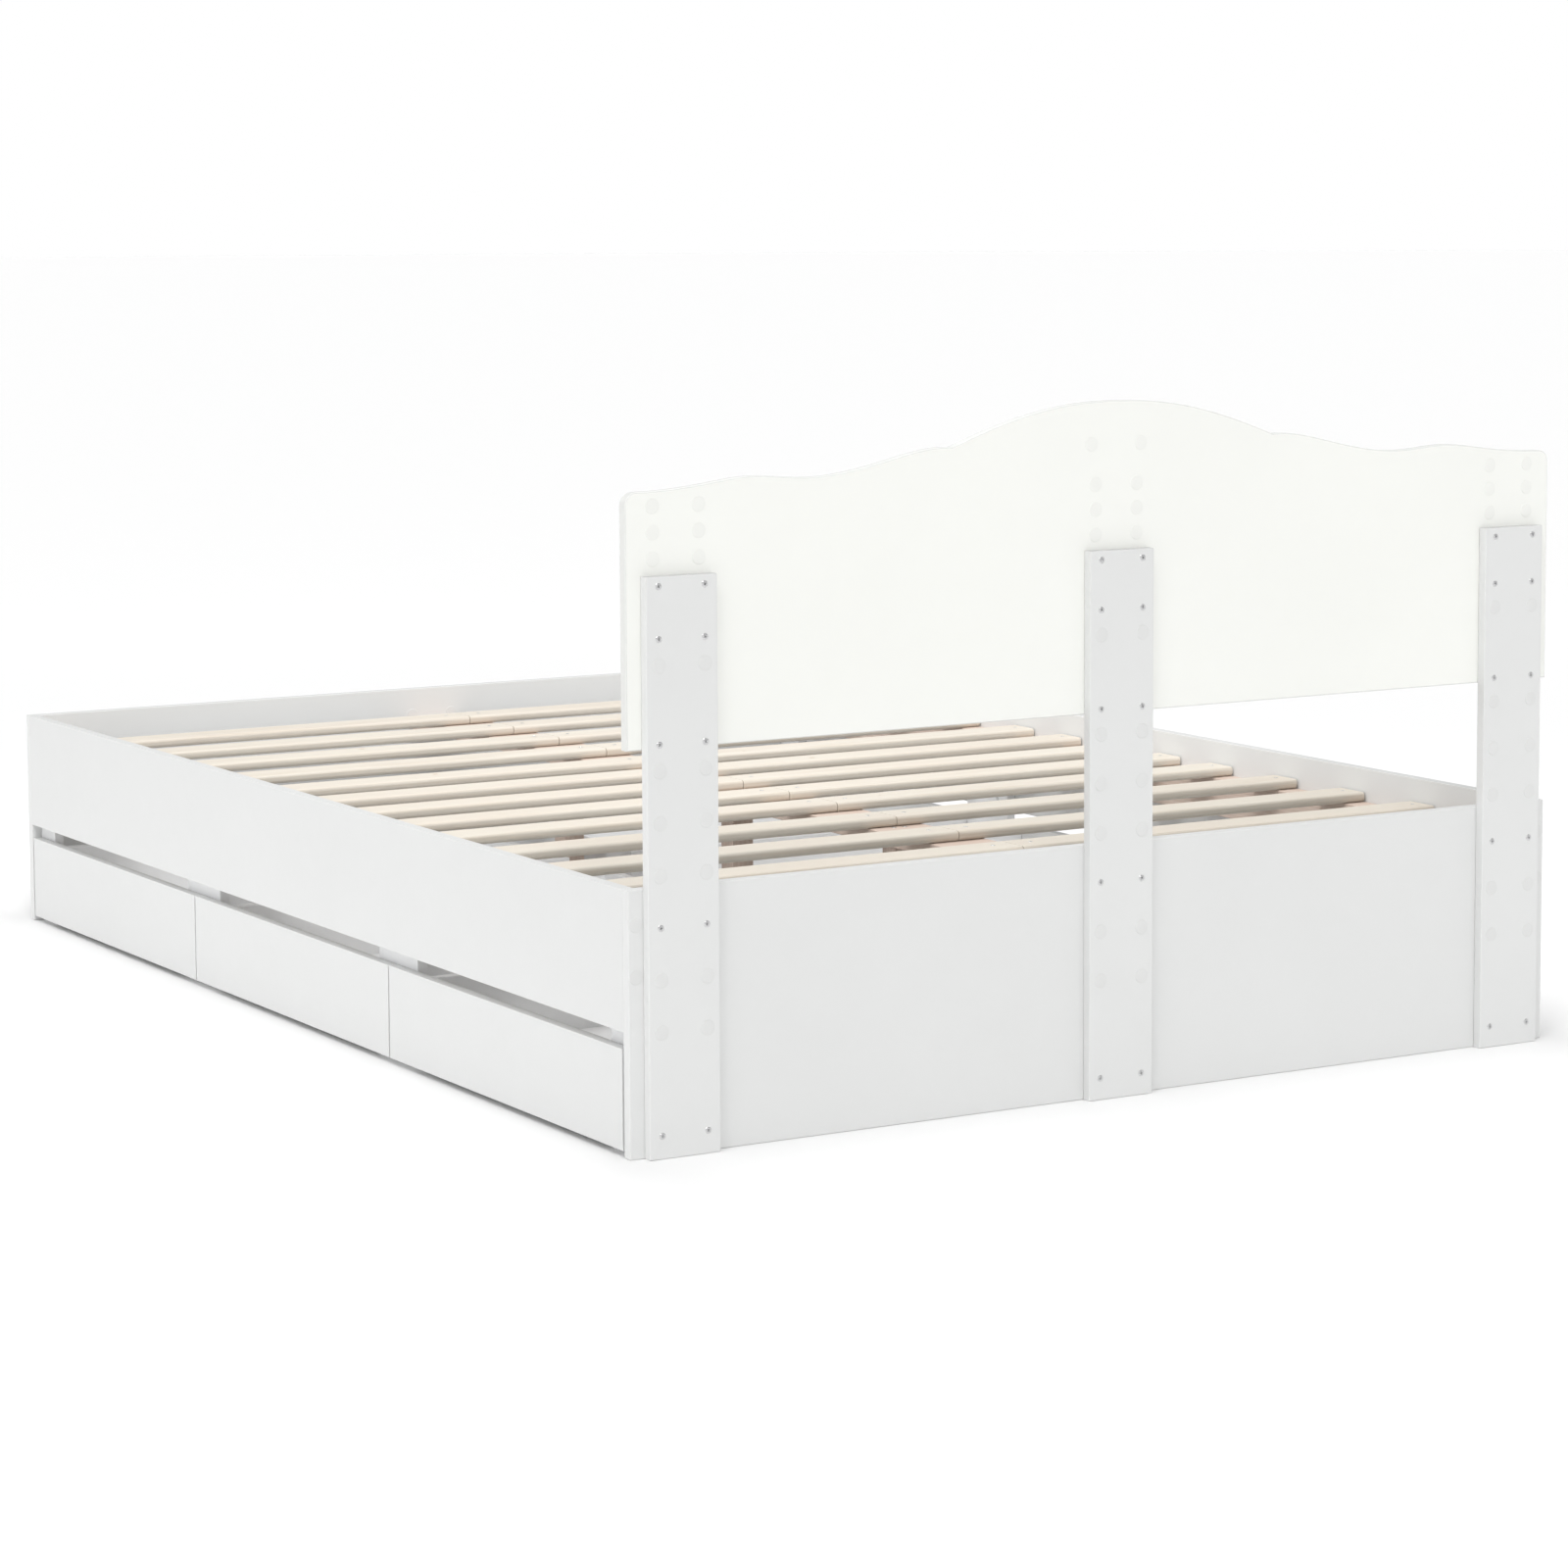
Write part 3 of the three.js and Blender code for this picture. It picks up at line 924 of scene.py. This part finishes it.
def make_drawer(side, number):
    """A drawer's front, the four boards of its tray, their screws and its four castors."""
    name = f"drawer_{side}_{number}"
    sign = SIDES[side]
    tray = f"{name}_tray"
    stand_for(f"{name}_front", name)
    low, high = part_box(tray)
    front_x, back_x = (high.x, low.x) if sign > 0 else (low.x, high.x)

    def board(part, corner, far, replaces=(), edge=BOARD_EDGE):
        bm = start_mesh()
        lowest = [min(a, b) for a, b in zip(corner, far)]
        highest = [max(a, b) for a, b in zip(corner, far)]
        add_block(bm, lowest, highest, edge)
        make_piece(f"{name}_{part}", bm, name, LIGHTENED_INNER_BOARD, replaces)

    back_inner = back_x + sign * TRAY_BOARD
    head_inner = high.y - TRAY_BOARD
    foot_inner = low.y + TRAY_BOARD
    board("head_side", (back_x, head_inner, low.z), (front_x, high.y, high.z), [tray])
    board("foot_side", (back_x, low.y, low.z), (front_x, foot_inner, high.z))
    y_low, y_high = foot_inner + TRAY_FIT, head_inner - TRAY_FIT
    board("back", (back_x, y_low, low.z), (back_inner, y_high, high.z))
    floor_low = low.z + TRAY_FLOOR_LIFT
    floor_high = floor_low + TRAY_FLOOR_THICKNESS
    board(
        "bottom",
        (back_inner + sign * TRAY_FIT, y_low, floor_low),
        (front_x - sign * TRAY_FIT, y_high, floor_high),
        edge=TRAY_FLOOR_EDGE,
    )

    heights = (low.z + TRAY_SCREW_FROM_BOTTOM, high.z - TRAY_SCREW_FROM_TOP)
    screw_x = back_x + sign * TRAY_BOARD / 2
    for part, y, direction in (("head", high.y, Y_AXIS), ("foot", low.y, -Y_AXIS)):
        screw_y = y + direction.y * TRAY_SCREW_LIFT
        screws(f"{name}_{part}_screws", [(screw_x, screw_y, z) for z in heights], direction, name)

    wheels, plates, steel = start_mesh(), start_mesh(), start_mesh()
    for x in (back_x + sign * CASTOR_FROM_BACK, front_x - sign * CASTOR_FROM_FRONT):
        for y, facing in ((head_inner, -1), (foot_inner, 1)):
            add_castor(wheels, plates, steel, x, y, facing)
    make_piece(f"{name}_castor_wheels", wheels, name, BLACK_NYLON)
    make_piece(f"{name}_castor_plates", plates, name, BLACK_NYLON)
    make_piece(f"{name}_castor_axles", steel, name, STEEL)


# ---- Studio ----

def studio_walls():
    """An even pale room, white at the horizon."""
    world = bpy.data.worlds.new("soft_white_studio")
    world.use_nodes = True
    nodes, links = world.node_tree.nodes, world.node_tree.links
    place = nodes.new("ShaderNodeTexCoord")
    split = nodes.new("ShaderNodeSeparateXYZ")
    fade = nodes.new("ShaderNodeMapRange")
    fade.interpolation_type = "SMOOTHSTEP"
    links.new(place.outputs["Generated"], split.inputs["Vector"])
    links.new(split.outputs["Z"], fade.inputs["Value"])
    limits = (HORIZON_TOP, WALL_BOTTOM, HORIZON_LIGHT, WALL_LIGHT)
    for socket, value in zip(list(fade.inputs)[1:5], limits):
        socket.default_value = value
    links.new(fade.outputs["Result"], nodes["Background"].inputs["Strength"])
    nodes["Background"].inputs["Color"].default_value = color(1.0, 1.0, 1.0)
    return world


def add_sun(name, energy, direction, softness):
    lamp = bpy.data.lights.new(name, "SUN")
    lamp.energy = energy
    lamp.angle = math.radians(softness)
    sun = link_object(name, lamp)
    sun.rotation_euler = Vector(direction).to_track_quat("Z", "Y").to_euler()


def add_softbox():
    """A light nearly as large as the bed, hung over it, which the camera doesn't see."""
    lamp = bpy.data.lights.new("softbox", "AREA")
    lamp.shape = "RECTANGLE"
    lamp.size = SOFTBOX_SHARE * (cad_high.x - cad_low.x)
    lamp.size_y = SOFTBOX_SHARE * (cad_high.y - cad_low.y)
    lamp.energy = SOFTBOX_WATTS
    softbox = link_object("softbox", lamp)
    softbox.location.z = SOFTBOX_HEIGHT
    softbox.visible_camera = False


def make_studio():
    """The floor, the room's light and the lamps."""
    bm = start_mesh()
    bmesh.ops.create_circle(bm, cap_ends=True, segments=96, radius=FLOOR_RADIUS)
    mesh = mesh_from(bm, "studio_floor")
    mesh.materials.append(studio_floor())
    floor = link_object("studio_floor", mesh)
    floor.location.z = cad_low.z - FLOOR_DROP

    bpy.context.scene.world = studio_walls()
    for sun in SUNS:
        add_sun(*sun)
    add_softbox()


def make_camera():
    """A long lens that looks at the back of the headboard from the +X side, a little from above."""
    lens = bpy.data.cameras.new("camera")
    lens.sensor_width = SENSOR_WIDTH
    lens.lens = FOCAL_LENGTH
    lens.shift_y = LENS_SHIFT
    camera = link_object("camera", lens)
    heading = Matrix.Rotation(math.radians(CAMERA_HEADING), 4, "Z")
    pitch = Matrix.Rotation(math.radians(CAMERA_PITCH), 4, "X")
    roll = Matrix.Rotation(math.radians(CAMERA_ROLL), 4, "Z")
    camera.matrix_world = Matrix.Translation(CAMERA_PLACE) @ (heading @ pitch @ roll)
    bpy.context.scene.camera = camera


make_camera()
make_studio()
make_end_panels()
make_headboard()
for post_side in ("right", "middle", "left"):
    make_post(post_side)
make_slats()
make_supports()
for bed_side in SIDES:
    make_side(bed_side)
    for drawer_number in DRAWER_NUMBERS:
        make_drawer(bed_side, drawer_number)

bpy.context.scene.view_settings.view_transform = "Standard"
